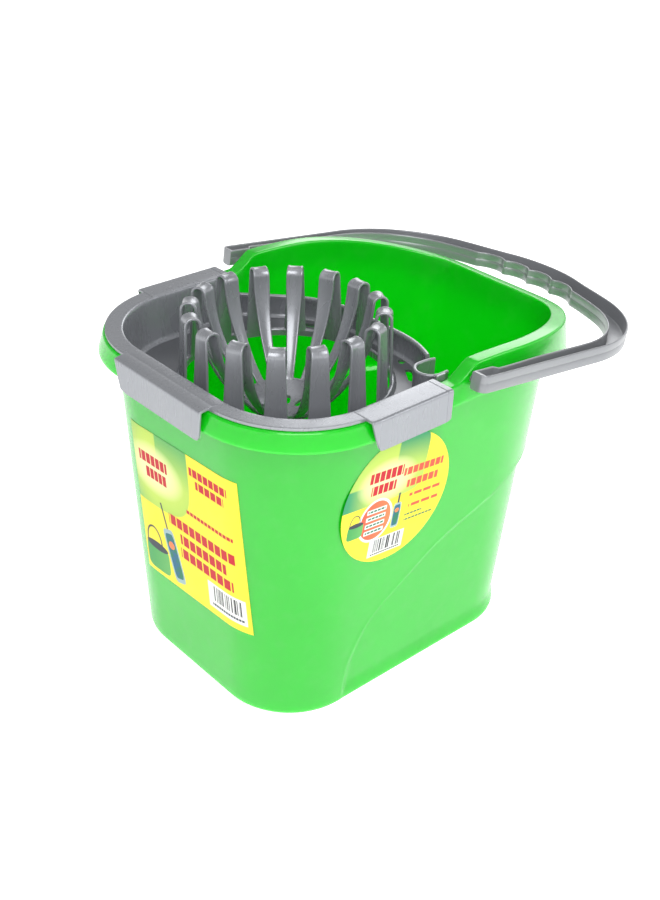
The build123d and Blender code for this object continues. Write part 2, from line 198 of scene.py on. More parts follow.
def piece(name, verts, faces, body, material, replaces, flip=False, sharp=None):
    """A new mesh piece, given in millimetres, that rides on one body; sharp is in degrees."""
    mesh = bpy.data.meshes.new(name)
    mesh.from_pydata([tuple(c * MM for c in v) for v in verts], [], faces)
    mesh.validate()
    if flip:
        mesh.flip_normals()
    mesh.polygons.foreach_set("use_smooth", [True] * len(mesh.polygons))
    if sharp is not None:
        mesh.set_sharp_from_angle(angle=radians(sharp))
    mesh.materials.append(material)
    obj = bpy.data.objects.new(name, mesh)
    bpy.context.scene.collection.objects.link(obj)
    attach(obj, body)
    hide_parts(*replaces)
    return obj


def wringer_piece(name, verts, faces, replaces, flip=False, sharp=None):
    return piece(name, verts, faces, "wringer", SILVER, replaces, flip, sharp)


def bevelled(obj, width, segments):
    mod = obj.modifiers.new("edge_round", "BEVEL")
    mod.width = width * MM
    mod.segments = segments
    mod.limit_method = "ANGLE"
    mod.angle_limit = radians(35)


def solid(obj, thickness):
    mod = obj.modifiers.new("sheet", "SOLIDIFY")
    mod.thickness = thickness * MM
    mod.offset = -1
    mod.use_even_offset = True


# --- materials -------------------------------------------------------------------
def node_material(name):
    mat = bpy.data.materials.new(name)
    mat.use_nodes = True
    tree = mat.node_tree
    return mat, tree, tree.nodes["Principled BSDF"]


def link(tree, source, target):
    tree.links.new(source, target)


def set_inputs(node, **values):
    """Sets a node's inputs by name; an underscore stands for a space."""
    for name, value in values.items():
        node.inputs[name.replace("_", " ")].default_value = value
    return node


def add(tree, kind, **values):
    return set_inputs(tree.nodes.new(kind), **values)


def math_node(tree, operation, a, b=None, clamp=False):
    node = tree.nodes.new("ShaderNodeMath")
    node.operation = operation
    node.use_clamp = clamp
    for index, value in enumerate((a, b)):
        if value is None:
            continue
        if isinstance(value, (int, float)):
            node.inputs[index].default_value = value
        else:
            link(tree, value, node.inputs[index])
    return node.outputs[0]


def mix_colour(tree, factor, a, b):
    node = tree.nodes.new("ShaderNodeMix")
    node.data_type = "RGBA"
    for socket, value in ((node.inputs[0], factor), (node.inputs[6], a), (node.inputs[7], b)):
        if isinstance(value, (int, float)):
            socket.default_value = value
        elif isinstance(value, (tuple, list)):
            socket.default_value = (*value[:3], 1)
        else:
            link(tree, value, socket)
    return node.outputs[2]


def noise(tree, coords, scale, detail=3.0, rough=0.55):
    node = add(tree, "ShaderNodeTexNoise", Scale=scale, Detail=detail, Roughness=rough)
    link(tree, coords, node.inputs["Vector"])
    return node.outputs["Fac"]


def ramp(tree, value, low, high, out_low=0.0, out_high=1.0):
    node = add(tree, "ShaderNodeMapRange", From_Min=low, From_Max=high, To_Min=out_low, To_Max=out_high)
    link(tree, value, node.inputs["Value"])
    return node.outputs["Result"]


def relief(tree, bsdf, strength, height):
    """Fine bumps on a surface; strength scales a depth of RELIEF_DEPTH metres."""
    node = add(tree, "ShaderNodeBump", Strength=strength, Distance=RELIEF_DEPTH)
    link(tree, height, node.inputs["Height"])
    link(tree, node.outputs["Normal"], bsdf.inputs["Normal"])


def object_coords(tree):
    return add(tree, "ShaderNodeTexCoord").outputs["Object"]


def plastic(name, colour, deep, rough, bump, grain):
    """Moulded plastic: cloudy colour, fine moulded grain, streaks and a few scuffs."""
    mat, tree, bsdf = node_material(name)
    coords = object_coords(tree)
    clouds = noise(tree, coords, 9.0)
    base = mix_colour(tree, ramp(tree, clouds, 0.35, 0.65), colour, deep)
    dust = ramp(tree, noise(tree, coords, 60.0, 3.0, 0.6), 0.5, 0.8, 0.0, 0.03)
    pale = tuple(0.6 * c + 0.3 for c in colour)
    link(tree, mix_colour(tree, dust, base, pale), bsdf.inputs["Base Color"])
    stretch = add(tree, "ShaderNodeMapping", Scale=(1.0, 1.0, 0.06))
    link(tree, coords, stretch.inputs["Vector"])
    streaks = noise(tree, stretch.outputs[0], 160.0, 1.0)
    scuffs = ramp(tree, noise(tree, coords, 22.0, 2.0, 0.6), 0.5, 0.75, 0.0, 0.03)
    level = math_node(tree, "ADD", ramp(tree, streaks, 0.3, 0.7, rough - 0.015, rough + 0.015), scuffs)
    link(tree, level, bsdf.inputs["Roughness"])
    relief(tree, bsdf, bump, noise(tree, coords, grain, 2.0))
    return mat, bsdf


def bucket_material():
    mat, bsdf = plastic("bucket_plastic", (0.003, 0.54, 0.008), (0.002, 0.51, 0.006), 0.19, 0.01, 1500.0)
    set_inputs(bsdf, Specular_IOR_Level=0.82, Subsurface_Weight=0.7, Subsurface_Scale=0.015,
               Subsurface_Radius=(0.05, 1.0, 0.05))
    return mat


def grey_plastic(name, colour, rough, metallic):
    """Grey plastic with a metallic flake."""
    deep = tuple(c - 0.03 for c in colour)
    mat, bsdf = plastic(name, colour, deep, rough, 0.012, 300.0)
    set_inputs(bsdf, Metallic=metallic)
    return mat


GREEN = bucket_material()
SILVER = grey_plastic("wringer_plastic", (0.350, 0.362, 0.388), 0.27, 0.45)
# A darker copy of the wringer's grey for the tray floor: painted shade for the shadow between the tray's
# walls, not a different plastic.
SHADED_TRAY_GREY = grey_plastic("wringer_tray_painted_shade", (0.205, 0.212, 0.228), 0.34, 0.45)
GREY = grey_plastic("handle_plastic", (0.300, 0.308, 0.325), 0.29, 0.35)
BODY_MATERIALS = {"bucket": GREEN, "wringer": SILVER, "handle": GREY}


# --- bucket ------------------------------------------------------------------------
WALL = 2.5
FLOOR_LOW = 3.0
FLOOR_TOP = 6.0
RIM_OUT_TOP = 8.9
RIM_OUT_LOW = 12.4
RIM_ROUND = 1.7
RIM_PLATE = WALL + 0.2
BASE_ROUND = 4.5
INNER_ROUND = 1.6
FLOOR_ROUND = 4.0


def rounded(start_angle, end_angle, steps):
    return [radians(start_angle + (end_angle - start_angle) * i / steps) for i in range(steps + 1)]


def wall_row(z, inset):
    """One ring of the tapered wall; z may differ from station to station."""
    low, high = outline(grown(BASE_PLAN, -inset)), outline(grown(RIM_PLAN, -inset))
    levels = np.broadcast_to(z, len(low))
    return np.column_stack([low + (high - low) * (levels / RIM_Z)[:, None], levels])


def stepped_row(z, inset):
    """A wall ring pushed in by the recess of the lower rear area."""
    ring = wall_row(z, inset)
    push = recess(ring[:, 0], ring[:, 2])[:, None]
    deeper = wall_row(z, inset + 1.0)
    ring[:, :2] += (deeper[:, :2] - ring[:, :2]) * push
    return ring


def rim_row(out, drop):
    """One ring of the rim: out from the wall's outer face, drop below the rim's top."""
    plan = outline(grown(RIM_PLAN, out))
    top = rim_height(plan[:, 0])
    wall = wall_row(top, -out)[:, :2]
    blend = np.clip((out + WALL) / (RIM_OUT_LOW + WALL), 0, 1)
    return np.column_stack([wall + (plan - wall) * blend, top - drop])


def skirt_row(share, inset):
    """One ring down the flared skirt, from its top (0) to its free edge (1)."""
    out = RIM_OUT_TOP + (RIM_OUT_LOW - RIM_OUT_TOP) * share - inset
    plan = outline(grown(RIM_PLAN, out))
    top = rim_height(plan[:, 0]) - RIM_ROUND
    bottom = skirt_bottom(plan[:, 0])
    return np.column_stack([plan, top + (bottom - top) * share])


def build_bucket():
    """One skin: underside, outer wall, rim and skirt, inner wall and floor."""
    top = rim_height(outline(RIM_PLAN)[:, 0])
    rows = [wall_row(z, inset) for z, inset in ((FLOOR_LOW, 9.0), (FLOOR_LOW, 7.4), (0.0, 6.6))]
    rows += [stepped_row(BASE_ROUND * (1 - cos(a)), BASE_ROUND * (1 - sin(a)))
             for a in rounded(0, 90, 6)]
    low, high = BASE_ROUND, top - RIM_ROUND
    rows += [stepped_row(low + (high - low) * share, 0.0) for share in np.linspace(0, 1, 118)[1:]]
    rows += [rim_row(1.0, RIM_PLATE), rim_row(RIM_OUT_TOP - WALL - 0.8, RIM_PLATE)]
    rows += [skirt_row(share, WALL) for share in (0.08, 0.35, 0.65, 0.93)]
    rows += [skirt_row(0.985, WALL - 0.5), skirt_row(1.0, WALL / 2), skirt_row(0.985, 0.35)]
    rows += [skirt_row(share, 0.0) for share in (0.95, 0.8, 0.6, 0.4, 0.2, 0.0)]
    rows += [rim_row(RIM_OUT_TOP - RIM_ROUND * (1 - cos(a)), RIM_ROUND * (1 - sin(a)))
             for a in rounded(0, 90, 6)[1:]]
    rows += [rim_row(3.0, 0.0), rim_row(0.2, 0.0)]
    rows += [rim_row(-WALL + INNER_ROUND * (1 - sin(a)), INNER_ROUND * (1 - cos(a)))
             for a in rounded(0, 90, 5)]
    high, low = top - INNER_ROUND, FLOOR_TOP + FLOOR_ROUND
    rows += [stepped_row(high + (low - high) * share, WALL) for share in np.linspace(0, 1, 96)[1:]]
    rows += [stepped_row(FLOOR_TOP + FLOOR_ROUND * (1 - sin(a)), WALL + FLOOR_ROUND * (1 - cos(a)))
             for a in rounded(0, 90, 5)[1:]]
    piece("bucket_shell", np.concatenate(rows), tube_faces(len(rows), len(top)), "bucket",
          GREEN, ("bucket_wall", "bucket_floor", "front_rim", "pouring_rim"), sharp=50)


# --- wringer shell -------------------------------------------------------------------
FLANGE_TOP = 252.5
SHEET = 2.2
TRAY_TOP = 219.0
TRAY_LOW = TRAY_TOP - SHEET
WALL_FOOT_Z = TRAY_LOW + 0.1
BASIN_LOW_IN, BASIN_TOP_IN = 9.0, 3.5
BASIN_ROUND = 3.5
LIP_ROUND = 1.3
FLANGE_OUT = 7.0
HOOK_OUT = 14.7
HOOK_LOW = 230.0
WRINGER_REAR_X = -14.0
SADDLE_SHEET = 1.7
SADDLE_CORNER_R = 3.5
SIDE_SPAN, SIDE_LOW_SPAN = (-84.7, -14.0), (-79.0, -14.4)


def plan_row(stations, out, z):
    ring = outline(grown(RIM_PLAN, out))[stations]
    return [(x, y, z) for x, y in ring]


def basin_row(stations, z, inset):
    """A ring of the basin's drafted wall; inset from its outer face."""
    share = (z - TRAY_LOW) / (FLANGE_TOP - TRAY_LOW)
    return plan_row(stations, -(BASIN_LOW_IN + (BASIN_TOP_IN - BASIN_LOW_IN) * share) - inset, z)


def clip_rear(rows):
    """Slides the last station on each side to the wringer's rear line."""
    return [[(min(x, WRINGER_REAR_X), y, z) for x, y, z in row] for row in rows]


def shell_stations():
    ring = outline(RIM_PLAN)
    count = len(ring)
    near = [i for i in range(count // 2) if ring[i][0] <= WRINGER_REAR_X + 2.2]
    far = [count - i for i in near if i]
    return far[::-1] + near


def build_shell():
    stations = shell_stations()
    rows = [basin_row(stations, TRAY_TOP + BASIN_ROUND * (1 - cos(a)) - 0.1,
                      SHEET + BASIN_ROUND * (1 - sin(a))) for a in rounded(0, 90, 5)]
    rows += [basin_row(stations, z, SHEET) for z in (226, 232, 238, 244, 248.6, 250.6)]
    rows += [plan_row(stations, -(BASIN_TOP_IN + SHEET) + LIP_ROUND * (1 - cos(a)),
                      FLANGE_TOP - LIP_ROUND * (1 - sin(a))) for a in rounded(0, 90, 5)[1:]]
    rows += [plan_row(stations, out, FLANGE_TOP) for out in (-2.5, 1.5, 5.0, FLANGE_OUT)]
    verts = [v for row in clip_rear(rows) for v in row]
    shell = wringer_piece("wringer_shell", verts, grid_faces(len(rows), len(stations)),
                          ("basin_wall", "rim_flange"), flip=True)
    solid(shell, SHEET - 0.2)
    bevelled(shell, 0.5, 3)


@lru_cache(maxsize=None)
def rim_ring(out):
    return outline(grown(RIM_PLAN, out))


def rim_point(out, place, axis, sign):
    """Plan point of the rim's offset line at one place along an axis, on one side."""
    ring = rim_ring(round(out, 3))
    keep = ring[ring[:, 1 - axis] * sign > 60.0]
    keep = keep[np.argsort(keep[:, axis])]
    other = float(np.interp(place, keep[:, axis], keep[:, 1 - axis]))
    return (place, other) if axis == 0 else (other, place)


def fold_profile(fold, start, z0):
    """Round fold from the saddle's top plane into its straight drop: (out, z, share)."""
    profile = [(out, z, 0.0) for out, z in start]
    for angle in rounded(0, 90, 8):
        profile.append((HOOK_OUT - fold + fold * sin(angle), z0 - fold * (1 - cos(angle)), 0.0))
    for share in (0.1, 0.25, 0.4, 0.55, 0.7, 0.8, 0.88, 0.94, 0.98, 1.0):
        profile.append((HOOK_OUT, z0 - fold + (HOOK_LOW - z0 + fold) * share, share))
    return profile


def saddle_section(profile, inset):
    """Closed section of a saddle's sheet: its outer line, then its inner line back."""
    line = np.array([p[:2] for p in profile])
    along = np.gradient(line, axis=0)
    along /= np.hypot(along[:, 0], along[:, 1])[:, None]
    normal = np.column_stack([-along[:, 1], along[:, 0]])
    share = [p[2] for p in profile]
    thick = SADDLE_SHEET - 0.3 * inset
    outer = [(*(p - n * inset), s) for p, n, s in zip(line, normal, share)]
    inner = [(*(p - n * thick), s) for p, n, s in zip(line, normal, share)]
    edge = [(HOOK_OUT - inset - 0.15, HOOK_LOW + 0.15, 1.0), (HOOK_OUT - 0.8, HOOK_LOW, 1.0),
            (HOOK_OUT - SADDLE_SHEET + 0.2, HOOK_LOW + 0.15, 1.0)]
    return outer + edge + inner[-2::-1]


def saddle_cuts(low, high, seam):
    """(place, inset) across a saddle: eased ends and, on the sides, a moulded seam."""
    cuts = [(low, 0.45), (low + 0.15, 0.15), (low + 0.45, 0.0), (low + 1.0, 0.0)]
    cuts += [(place, 0.0) for place in np.linspace(low + 1.8, high - 7.0, 24)]
    if seam:
        cuts += [(high - 5.4, 0.0), (high - 5.1, 0.35), (high - 4.8, 0.35), (high - 4.5, 0.0)]
    return cuts + [(high - 1.0, 0.0), (high - 0.45, 0.0), (high - 0.15, 0.15), (high, 0.45)]


def corner_lift(place, low, high):
    """How far the saddle's lower edge curls up to round its corners."""
    gap = min(place - low, high - place)
    if gap >= SADDLE_CORNER_R:
        return 0.0
    return SADDLE_CORNER_R * (1 - sqrt(1 - (1 - gap / SADDLE_CORNER_R) ** 2))


def build_clip(name, axis, sign, span, low_span, profile, seam):
    """A saddle clipped over the rim: flat top, rounded fold and a straight drop."""
    verts = []
    scale = (low_span[1] - low_span[0]) / (span[1] - span[0])
    cuts = saddle_cuts(*span, seam)
    for place, inset in cuts:
        lower = low_span[0] + (place - span[0]) * scale
        curl = corner_lift(place, *span)
        for out, z, share in saddle_section(profile, inset):
            x, y = rim_point(out, place + (lower - place) * share, axis, sign)
            verts.append((x, y, z + curl * max(0.0, 2 * share - 1)))
    wringer_piece(name + "_shell", verts, tube_faces(len(cuts), len(verts) // len(cuts)), (name,),
                  flip=(axis == 0) == (sign > 0), sharp=40)


def build_clips():
    top = FLANGE_TOP + 0.25
    edge = [(-4.6, top - 0.5), (-4.3, top - 0.1), (-3.8, top)]
    side = fold_profile(2.2, edge + [(2.0, top), (7.0, top), (10.0, top)], top)
    build_clip("near_clip", 0, -1, SIDE_SPAN, SIDE_LOW_SPAN, side, True)
    build_clip("far_clip", 0, 1, SIDE_SPAN, SIDE_LOW_SPAN, side, True)
    grooved = edge + [(1.0, top), (3.3, top), (3.8, top - 0.12), (4.3, top - 0.12), (4.9, top - 0.02),
                      (6.6, top + 0.03), (10.0, top + 0.03), (11.2, top - 0.1), (12.2, top - 0.33),
                      (12.6, top - 0.45)]
    front = fold_profile(1.9, grooved, top - 0.45)
    build_clip("front_clip", 1, -1, (-50.0, 45.0), (-48.0, 40.0), front, False)


# --- swept walls ------------------------------------------------------------------------
def sweep(path, profile):
    """Closed profile (side, z) carried along a plan path; side is to the left of travel."""
    path = np.array(path, float)
    tangent = np.gradient(path, axis=0)
    tangent /= np.hypot(tangent[:, 0], tangent[:, 1])[:, None]
    left = np.column_stack([-tangent[:, 1], tangent[:, 0]])
    verts = [(*(point + side * across), z) for point, side in zip(path, left) for across, z in profile]
    return verts, tube_faces(len(path), len(profile))


LIP_Z = 237.0
CORNER_X = -37.5
CORNER_Y = 22.0
CORNER_R = 80.0
REST = (18.0, -75.5)
REST_R = 9.4
REST_WALL = 2.0
WING_THICK = 6.4
WING_END_Y = -108.6
WING_CLIMB = 20.1


def rear_path():
    """Middle of the tray's rear wall, from the far flange round to the shaft rest."""
    radius = CORNER_R - SHEET / 2
    reach = radius * cos(radians(45))
    end = (CORNER_X + reach, CORNER_Y + reach)
    start_x = WRINGER_REAR_X + 1.4
    far = [(start_x, end[1] + end[0] - start_x)]
    far += line_points((start_x, far[0][1]), end, 14)[1:]
    far += arc_points((CORNER_X, CORNER_Y), radius, 45, -45, 16)
    far += line_points((CORNER_X + radius, CORNER_Y), (CORNER_X + radius, -CORNER_Y), 8)
    near = arc_points((CORNER_X, -CORNER_Y), radius, 0, -31.5, 12)
    return far + near


def wall_profile(half, lip_half, top):
    """Section of a thin wall with a rounded, slightly thicker lip, standing on the tray."""
    profile = [(half, WALL_FOOT_Z), (half, top - 4.2), (lip_half, top - 3.2)]
    for angle in rounded(0, 180, 8):
        profile.append((lip_half * cos(angle), top - lip_half * (1 - sin(angle)) * 0.75))
    return profile + [(-lip_half, top - 3.2), (-half, top - 4.2), (-half, TRAY_TOP + 2.8),
                      (-half - 0.7, TRAY_TOP + 0.9), (-half - 2.6, TRAY_TOP + 0.05),
                      (-half - 2.6, WALL_FOOT_Z)]


def build_rear_wall():
    verts, faces = sweep(rear_path(), wall_profile(SHEET / 2, 1.75, LIP_Z))
    wringer_piece("rear_wall_lip", verts, faces, ("rear_wall",), sharp=50)


def rest_path():
    """Middle of the shaft rest's wall: far arm, round the back, near arm."""
    x, y = REST
    radius = REST_R + REST_WALL / 2
    path = [(x + 13.6, y + radius - 2.2), (x + 11.0, y + radius - 1.2), (x + 8.0, y + radius - 0.5),
            (x + 4.0, y + radius - 0.05)]
    path += arc_points(REST, radius, 90, 180, 28)
    return path + [(x, y - radius), (x + 3.5, y - radius), (x + 7.0, y - radius)]


def build_rest():
    half, lip_half = REST_WALL / 2, REST_WALL / 2 + 0.35
    profile = [(half, WALL_FOOT_Z), (half, LIP_Z - 2.4), (lip_half, LIP_Z - 1.6)]
    profile += [(lip_half * cos(a), LIP_Z - 1.0 + sin(a)) for a in rounded(0, 180, 8)]
    profile += [(-lip_half, LIP_Z - 1.6), (-half, LIP_Z - 2.4), (-half, WALL_FOOT_Z)]
    verts, faces = sweep(rest_path(), profile)
    wringer_piece("shaft_rest_collar", verts, faces, ("shaft_rest",), sharp=50)


def build_wing():
    """Thick diagonal wall whose top climbs from the rest's lip to the flange."""
    diagonal = CORNER_X + 2 * CORNER_R * cos(radians(45)) + CORNER_Y
    wide = WING_THICK / cos(radians(45))
    y_high, y_low = REST[1] - REST_R - 0.8, WING_END_Y
    rows = 11
    verts = []
    for y in np.linspace(y_high, y_low, rows):
        climb = np.clip((REST[1] - REST_R - REST_WALL - y) / WING_CLIMB, 0, 1)
        z = LIP_Z + (FLANGE_TOP - LIP_Z) * climb
        x = diagonal + y
        verts += [(x, y, WALL_FOOT_Z), (x, y, z - 0.6), (x + 0.6, y, z), (x + wide - 0.6, y, z),
                  (x + wide, y, z - 0.6), (x + wide, y, WALL_FOOT_Z)]
    wing = wringer_piece("rest_wing_block", verts, tube_faces(rows, len(verts) // rows),
                         ("rest_wing",), flip=True)
    wing.data.shade_flat()
    bevelled(wing, 0.5, 2)


# --- cone -----------------------------------------------------------------------------------
CONE_X = -48.0
FINGERS = 16
STRAP = 2.0
POST_FOOT, POST_HEAD = (74.0, 222.5, 16.2), (72.0, 269.7, 12.0)
ARCH_R, ARCH_STEPS = 5.1, 16
CROWN_WAIST = 1.1
RIB_ARC = ((61.8, 269.7), (51.5, 233.0), (28.0, 203.0))
RIB_STEPS = 48
RIB_TAPER, RIB_TAPER_TOP = 6.4 / 63.0, 262.0
WEB_R = 2.7


def finger_path():
    """Middle of one finger in (radius, z, width), from the tray over the arch to the hub."""
    foot, head = np.array(POST_FOOT), np.array(POST_HEAD)
    path = [(74.25, 217.2, 16.8), (74.1, 219.5, 16.5)]
    path += [tuple(foot + (head - foot) * i / 8) for i in range(9)]
    for i in range(1, ARCH_STEPS + 1):
        angle = pi * i / ARCH_STEPS
        crown = ARCH_R * (1 + 0.05 * sin(2 * angle) ** 2)
        path.append((head[0] - ARCH_R + crown * cos(angle), head[1] + crown * sin(angle),
                     head[2] - CROWN_WAIST * sin(angle) ** 2))
    return path + rib_path()


def rib_path():
    """Inner leg: a big arc from the arch down to the edge of the hub."""
    a, b, c = (np.array(point) for point in RIB_ARC)
    d = 2 * (a[0] * (b[1] - c[1]) + b[0] * (c[1] - a[1]) + c[0] * (a[1] - b[1]))
    ux = ((a @ a) * (b[1] - c[1]) + (b @ b) * (c[1] - a[1]) + (c @ c) * (a[1] - b[1])) / d
    uy = ((a @ a) * (c[0] - b[0]) + (b @ b) * (a[0] - c[0]) + (c @ c) * (b[0] - a[0])) / d
    centre = np.array((ux, uy))
    radius = hypot(*(a - centre))
    start = np.arctan2(*(a - centre)[::-1])
    end = np.arctan2(*(c - centre)[::-1])
    path = []
    for i in range(1, RIB_STEPS + 1):
        angle = start + (end - start) * (i / RIB_STEPS) ** 0.85
        r, z = centre + radius * np.array((cos(angle), sin(angle)))
        width = POST_HEAD[2] - RIB_TAPER * max(0.0, RIB_TAPER_TOP - z)
        path.append((r, z, width + 2 * web_flare(hypot(r - c[0], z - c[1]))))
    return path


def web_flare(gap):
    """How far a rib spreads each side as it runs into the hub, at a gap from its end."""
    return WEB_R - sqrt(WEB_R ** 2 - max(0.0, WEB_R - gap) ** 2)


def strap_section(half_w, half_t, corner):
    """Rounded rectangle with a shallow hollow between its outer edges: (across, through)."""
    points = []
    inner = half_w - corner - 0.5
    hollow = [(inner, half_t - 0.03), (inner - 0.7, half_t - 0.28), (0.0, half_t - 0.34),
              (0.7 - inner, half_t - 0.28), (-inner, half_t - 0.03)]
    for cx, cy, start in ((half_w - corner, half_t - corner, 0), (corner - half_w, half_t - corner, 90),
                          (corner - half_w, corner - half_t, 180), (half_w - corner, corner - half_t, 270)):
        if start == 90:
            points += hollow
        for angle in rounded(start, start + 90, 3):
            points.append((cx + corner * cos(angle), cy + corner * sin(angle)))
    return points


def build_fingers():
    path = np.array(finger_path())
    tangent = np.gradient(path[:, :2], axis=0)
    tangent /= np.hypot(tangent[:, 0], tangent[:, 1])[:, None]
    for index in range(FINGERS):
        turn = 2 * pi * index / FINGERS
        radial = np.array((cos(turn), sin(turn)))
        side = np.array((-sin(turn), cos(turn)))
        verts = []
        for (r, z, width), (tr, tz) in zip(path, tangent):
            for across, through in strap_section(width / 2, STRAP / 2, 0.7):
                x, y = radial * (r + tz * through) + side * across
                verts.append((CONE_X + x, y, z - tr * through))
        tag = f"{index + 1:02d}"
        wringer_piece(f"finger_{tag}", verts, tube_faces(len(path), len(verts) // len(path)),
                      (f"finger_post_{tag}", f"finger_rib_{tag}"), flip=True, sharp=60)


def build_collar():
    """Low round lip at the foot of the cone, turned about the cone's axis."""
    profile = [(73.2, 216.9), (77.9, 216.9), (77.9, 219.0), (77.2, 219.6), (76.6, 221.3)]
    profile += [(74.9 + 1.7 * cos(a), 221.3 + 1.2 * sin(a)) for a in rounded(0, 180, 6)]
    profile.append((73.2, 220.8))
    steps = 144
    verts = [(CONE_X + r * cos(a), r * sin(a), z) for a in (2 * pi * i / steps for i in range(steps))
             for r, z in profile]
    faces = grid_faces(steps, len(profile), wrap_rows=True, wrap_cols=True)
    wringer_piece("cone_collar_lip", verts, faces, ("cone_collar",), flip=True, sharp=50)


# --- handle -----------------------------------------------------------------------------------
PIVOT = (10.0, 250.0)
TILT = radians(7.2)
CHANNEL_TOP = 9.85
CHANNEL_LOW = -2.65
CHANNEL_WALL = 1.6
OUT_Y, IN_Y = 140.0, 129.6
ARM_END, ARM_LENGTH = 9.0, 107.5
OUT_CORNER_X, OUT_R, OUT_TURN = 114.0, 97.0, 69.4
CREST_X = 225.5
GRIP_SHOULDER = (219.0, 36.0)
IN_R, IN_TURN, IN_BOW = 80.0, 70.0, 16.8
CORNER_STEPS = 26
GRIP_STEPS = 24
SCALLOP_PITCH, SCALLOP_DEPTH = 25.0, 5.2
POCKET_START, POCKET_END, POCKET_DEPTH = -7.0, 10.0, 6.0


def hermite(p, q, tp, tq, steps):
    """Cubic from p to q with end tangents, without its last point."""
    t = np.arange(steps)[:, None] / steps
    p, q, tp, tq = (np.array(v, float) for v in (p, q, tp, tq))
    return ((2 * t ** 3 - 3 * t ** 2 + 1) * p + (t ** 3 - 2 * t ** 2 + t) * tp
            + (3 * t ** 2 - 2 * t ** 3) * q + (t ** 3 - t ** 2) * tq)


def outer_grip(end):
    """Back edge of the grip from the far corner over the crest to the near corner."""
    lean = radians(OUT_TURN)
    shoulder = (cos(radians(68)), -sin(radians(68)))
    first = hermite(end, GRIP_SHOULDER, np.array((cos(lean), -sin(lean))) * 40,
                    np.array(shoulder) * 40, GRIP_STEPS)
    second = hermite(GRIP_SHOULDER, (CREST_X, 0), np.array(shoulder) * 38, (0, -38), GRIP_STEPS)
    half = [tuple(v) for v in np.concatenate([first, second])]
    return half + [(CREST_X, 0.0)] + [(u, -y) for u, y in half[::-1]]


def inner_grip(end, outer_mid):
    """Front edge of the grip with its finger scallops, at the outer edge's stations."""
    points = []
    for _, y in outer_mid:
        y *= end[1] / outer_mid[0][1]
        points.append((end[0] + IN_BOW * (1 - (y / end[1]) ** 2) + scallop_depth(y), y))
    return points


def corner_end(x, y, radius, turn):
    return (x + radius * sin(radians(turn)), y - radius * (1 - cos(radians(turn))))


def corner_points(x, y, radius, turn):
    return arc_points((x, y - radius), radius, 90, -turn, CORNER_STEPS)


def handle_edges():
    """Outer and inner edge of the bar from the far arm's end round to the near arm."""
    outer_corner = (OUT_CORNER_X, OUT_Y, OUT_R, OUT_TURN)
    inner_corner = (ARM_LENGTH, IN_Y, IN_R, IN_TURN)
    outer_far, inner_far = corner_points(*outer_corner), corner_points(*inner_corner)
    outer_mid = outer_grip(corner_end(*outer_corner))
    inner_mid = inner_grip(corner_end(*inner_corner), outer_mid)
    outer = outer_far + outer_mid + [(u, -y) for u, y in outer_far[::-1]]
    inner = inner_far + inner_mid + [(u, -y) for u, y in inner_far[::-1]]
    return outer, inner


def scallop_depth(y):
    """Four finger hollows with narrow ridges between, two each side of the middle."""
    if abs(y) >= 2 * SCALLOP_PITCH:
        return 0.0
    share = (abs(y) % SCALLOP_PITCH) / SCALLOP_PITCH
    return SCALLOP_DEPTH * (1 - abs(2 * share - 1) ** 2.6)


def tilted(u, y, n):
    c, s = cos(TILT), sin(TILT)
    return (PIVOT[0] + u * c + n * s, y, PIVOT[1] - u * s + n * c)


ARM_STATIONS = (-9.0, -8.9, -8.6, -8.1, -7.5, -7.0, -6.99, -6.0, -5.0, -4.0, -1.0, 2.0, 5.0, 8.0, 8.5,
                9.3, 10.0, 10.01, 10.8, 11.6, 12.4, 13.0, 17.0, 22.0, 30.0, 40.0, 50.0, 60.0, 70.0,
                80.0, 90.0, 100.0)
END_ROUND_R = 5.0


def end_round(u):
    """How far the outer corner of the pivot end is rounded back."""
    gap = max(0.0, END_ROUND_R - ARM_END - u)
    return END_ROUND_R - sqrt(max(0.0, END_ROUND_R ** 2 - gap ** 2))


def web_height(u):
    """Floor of the channel: solid end wall, shallow pivot pocket, then the deep channel."""
    if u <= POCKET_START:
        return CHANNEL_TOP
    if u <= POCKET_END:
        return CHANNEL_TOP - POCKET_DEPTH
    return CHANNEL_LOW + CHANNEL_WALL


def inner_face(u):
    """The arm's inner face stands back beyond the thicker pivot block, then widens again."""
    return IN_Y - 1.6 + 3.4 * smooth_step(u, 9.5, 12.5) - 1.6 * smooth_step(u, 16.0, 60.0)


def handle_stations():
    """(outer, inner, web) for each station in the handle's frame, far end first."""
    arm = [((u, OUT_Y - end_round(u)), (u, inner_face(u)), web_height(u)) for u in ARM_STATIONS]
    low = CHANNEL_LOW + CHANNEL_WALL
    middle = []
    for outer, inner in zip(*handle_edges()):
        back = 0.2 * (1 - smooth_step(inner[0], 100.0, 170.0)) if abs(inner[1]) > 90 else 0.0
        middle.append((outer, (inner[0], inner[1] + back * (1 if inner[1] > 0 else -1)), low))
    near = [((o[0], -o[1]), (i[0], -i[1]), web) for o, i, web in arm[::-1]]
    return arm + middle + near


def channel_section(width, web):
    """Channel section with rounded lips: (distance in from the outer face, height)."""
    wall, top, low = CHANNEL_WALL, CHANNEL_TOP, CHANNEL_LOW
    deep = max(0.0, min(0.9, top - web))
    half = [(1.2, low), (0.35, low + 0.35), (0.0, low + 1.2), (0.0, top - 6.0), (0.22, top - 5.7),
            (0.0, top - 5.4), (0.0, top - 1.0), (0.12, top - 0.42), (0.42, top - 0.1), (wall / 2, top),
            (wall - 0.4, top - min(deep, 0.1)), (wall - 0.1, top - min(deep, 0.4)), (wall, top - deep),
            (wall, min(top, web + 0.7)), (wall + 0.2, min(top, web + 0.2)), (wall + 0.7, web)]
    return half + [(width - a, n) for a, n in half[::-1]]


